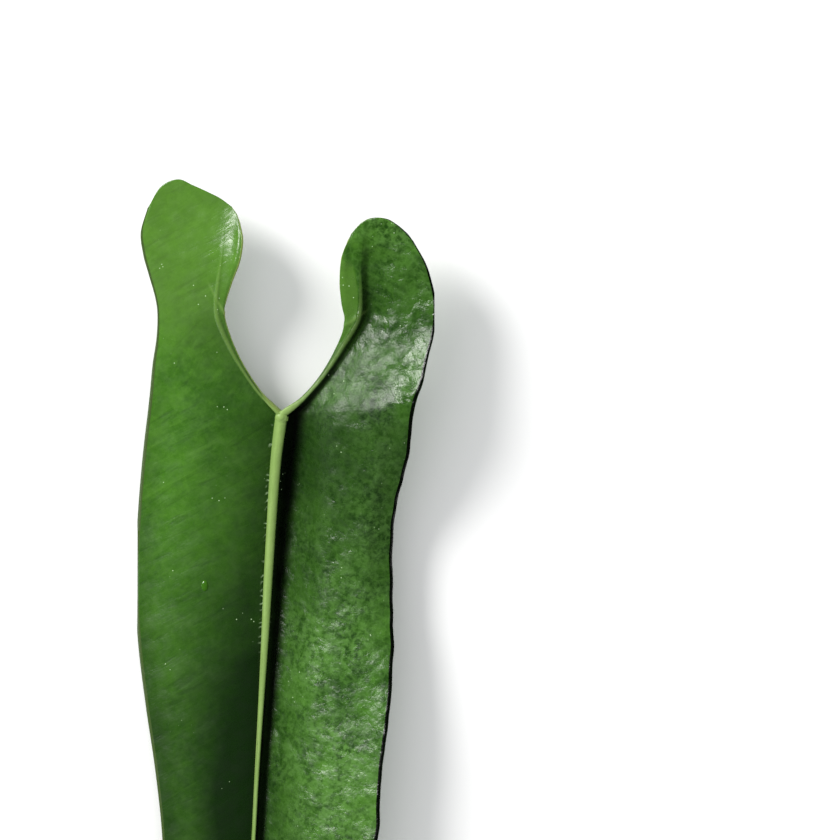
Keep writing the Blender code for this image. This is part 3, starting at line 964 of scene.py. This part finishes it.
class LEAF_OT_blade(bpy.types.Operator):
    """Make the blade with its ribs, veins and skin"""
    bl_idname = "leaf.blade"
    bl_label = "Blade"

    def execute(self, context):
        sizes = context.scene.leaf_sizes
        most = sizes.blade_thickness / MM + max(RIB_EXTRA)
        mesh = build_sheet(sizes, most)
        look = context.scene.leaf_look
        for material in (upper_skin(look), under_skin(look), margin_rim(look)):
            mesh.materials.append(material)
        sheet = bpy.data.objects.new("sheet", mesh)
        context.scene.collection.objects.link(sheet)
        sheet.vertex_groups.new(name="thickness")
        solid = sheet.modifiers.new("thickness", "SOLIDIFY")
        solid.thickness = most * MM
        solid.offset = 0.0
        solid.vertex_group = "thickness"
        solid.thickness_vertex_group = 0.0
        solid.material_offset = 1
        solid.material_offset_rim = 2
        blade = finished_mesh(sheet, "leaf_blade")
        bpy.data.objects.remove(sheet, do_unlink=True)
        keep_in_box(blade)
        add_piece("leaf_blade", blade)
        return {"FINISHED"}


class LEAF_OT_stalk(bpy.types.Operator):
    """Make the stub of the cut stalk beneath the leaf"""
    bl_idname = "leaf.stalk"
    bl_label = "Stalk"

    def execute(self, context):
        curve = bpy.data.curves.new("stalk", "CURVE")
        curve.dimensions = "3D"
        curve.bevel_depth = STALK_RADIUS * MM
        curve.bevel_resolution = 10
        curve.use_fill_caps = True
        curve.resolution_u = 12
        line = curve.splines.new("BEZIER")
        line.bezier_points.add(len(STALK) - 1)
        for point, spot, swell in zip(line.bezier_points, STALK, STALK_SWELL):
            point.co = (Vector(spot) + MOVE) * MM
            point.radius = swell
            point.handle_left_type = "AUTO"
            point.handle_right_type = "AUTO"
        drawn = bpy.data.objects.new("stalk_line", curve)
        context.scene.collection.objects.link(drawn)
        context.view_layer.update()
        mesh = finished_mesh(drawn, "leaf_stalk")
        bpy.data.objects.remove(drawn, do_unlink=True)
        tube = bmesh.new()
        tube.from_mesh(mesh)
        bmesh.ops.remove_doubles(tube, verts=tube.verts, dist=0.00001)
        bmesh.ops.recalc_face_normals(tube, faces=tube.faces)
        cut_height = STALK[-1][1] + MOVE.y + CUT_DEPTH
        for face in tube.faces:
            face.smooth = len(face.verts) <= 4
            at_cut = face.calc_center_median().y < cut_height * MM
            face.material_index = 1 if at_cut and len(face.verts) > 4 else 0
        tube.to_mesh(mesh)
        tube.free()
        keep_in_box(mesh)
        look = context.scene.leaf_look
        mesh.materials.clear()
        mesh.materials.append(stalk_skin(look))
        mesh.materials.append(cut_face(look))
        add_piece("leaf_stalk", mesh)
        return {"FINISHED"}


class LEAF_OT_blister(bpy.types.Operator):
    """Make the small glossy blister on the left half"""
    bl_idname = "leaf.blister"
    bl_label = "Blister"

    def execute(self, context):
        blade = context.scene.objects.get("leaf_blade")
        if blade is None:
            raise RuntimeError("make the blade before its blister")
        above = (DROP_PLACE.to_3d() + MOVE) * MM + Vector((0.0, 0.0, 0.1))
        met, where = blade.ray_cast(above, Vector((0.0, 0.0, -1.0)))[:2]
        if not met:
            raise RuntimeError("the blister's place misses the blade")
        height = context.scene.leaf_sizes.drop_height
        dome = bmesh.new()
        bmesh.ops.create_uvsphere(dome, u_segments=40, v_segments=24, radius=1.0)
        size = (DROP_SIZE.x * MM, DROP_SIZE.y * MM, height)
        bmesh.ops.scale(dome, vec=size, verts=dome.verts)
        bmesh.ops.translate(dome, vec=where, verts=dome.verts)
        for face in dome.faces:
            face.smooth = True
        mesh = bpy.data.meshes.new("leaf_blister")
        dome.to_mesh(mesh)
        dome.free()
        mesh.materials.append(blister_skin(context.scene.leaf_look))
        add_piece("leaf_blister", mesh)
        return {"FINISHED"}


class LEAF_OT_stage(bpy.types.Operator):
    """Make the surface, the soft light and the camera"""
    bl_idname = "leaf.stage"
    bl_label = "Stage"

    def execute(self, context):
        stage = context.scene.leaf_stage
        scene = context.scene
        ground = bmesh.new()
        bmesh.ops.create_grid(ground, x_segments=1, y_segments=1, size=FLOOR_HALF)
        mesh = bpy.data.meshes.new("floor")
        ground.to_mesh(mesh)
        ground.free()
        floor = bpy.data.objects.new("floor", mesh)
        scene.collection.objects.link(floor)
        make = Nodes("pale_floor")
        make.shader.inputs["Base Color"].default_value = colour(stage.floor)
        make.shader.inputs["Roughness"].default_value = 0.9
        make.shader.inputs["Specular IOR Level"].default_value = 0.1
        mesh.materials.append(make.material)

        world = bpy.data.worlds.new("pale_room")
        world.use_nodes = True
        back = world.node_tree.nodes["Background"]
        back.inputs["Color"].default_value = (0.98, 0.99, 1.0, 1.0)
        back.inputs["Strength"].default_value = stage.sky
        world.cycles_visibility.glossy = False
        scene.world = world

        lamp = bpy.data.lights.new("key", "AREA")
        lamp.shape = "DISK"
        lamp.size = LAMP_WIDTH
        lamp.energy = stage.key_power
        lamp.color = (1.0, 0.99, 0.97)
        key = bpy.data.objects.new("key", lamp)
        scene.collection.objects.link(key)
        toward = LAMP_TOWARD.normalized()
        key.location = LAMP_AIM + toward * LAMP_DISTANCE
        key.rotation_euler = toward.to_track_quat("Z", "Y").to_euler()

        lens = bpy.data.cameras.new("camera")
        lens.sensor_width = SENSOR
        lens.lens = SENSOR * stage.camera_height / VIEW_SIDE
        lens.clip_start = 0.05
        lens.clip_end = 50.0
        camera = bpy.data.objects.new("camera", lens)
        camera.location = VIEW_MIDDLE * MM + Vector((0.0, 0.0, stage.camera_height))
        scene.collection.objects.link(camera)
        scene.camera = camera
        scene.view_settings.view_transform = "Standard"
        return {"FINISHED"}


class LEAF_PT_panel(bpy.types.Panel):
    bl_idname = "LEAF_PT_panel"
    bl_label = "Anthurium Leaf"
    bl_space_type = "VIEW_3D"
    bl_region_type = "UI"
    bl_category = "Leaf"

    def draw(self, context):
        layout = self.layout
        for group in (context.scene.leaf_sizes, context.scene.leaf_look,
                      context.scene.leaf_stage):
            for name in group.__annotations__:
                layout.prop(group, name)
        for name in ("leaf.blade", "leaf.stalk", "leaf.blister", "leaf.stage"):
            layout.operator(name)


CLASSES = (LeafSizes, LeafLook, LeafStage, LEAF_OT_blade, LEAF_OT_stalk,
           LEAF_OT_blister, LEAF_OT_stage, LEAF_PT_panel)


def register():
    for made in CLASSES:
        bpy.utils.register_class(made)
    bpy.types.Scene.leaf_sizes = bpy.props.PointerProperty(type=LeafSizes)
    bpy.types.Scene.leaf_look = bpy.props.PointerProperty(type=LeafLook)
    bpy.types.Scene.leaf_stage = bpy.props.PointerProperty(type=LeafStage)


def unregister():
    del bpy.types.Scene.leaf_stage
    del bpy.types.Scene.leaf_look
    del bpy.types.Scene.leaf_sizes
    for made in reversed(CLASSES):
        bpy.utils.unregister_class(made)


def main():
    register()
    bpy.ops.leaf.blade()
    bpy.ops.leaf.stalk()
    bpy.ops.leaf.blister()
    bpy.ops.leaf.stage()


if __name__ == "__main__":
    main()
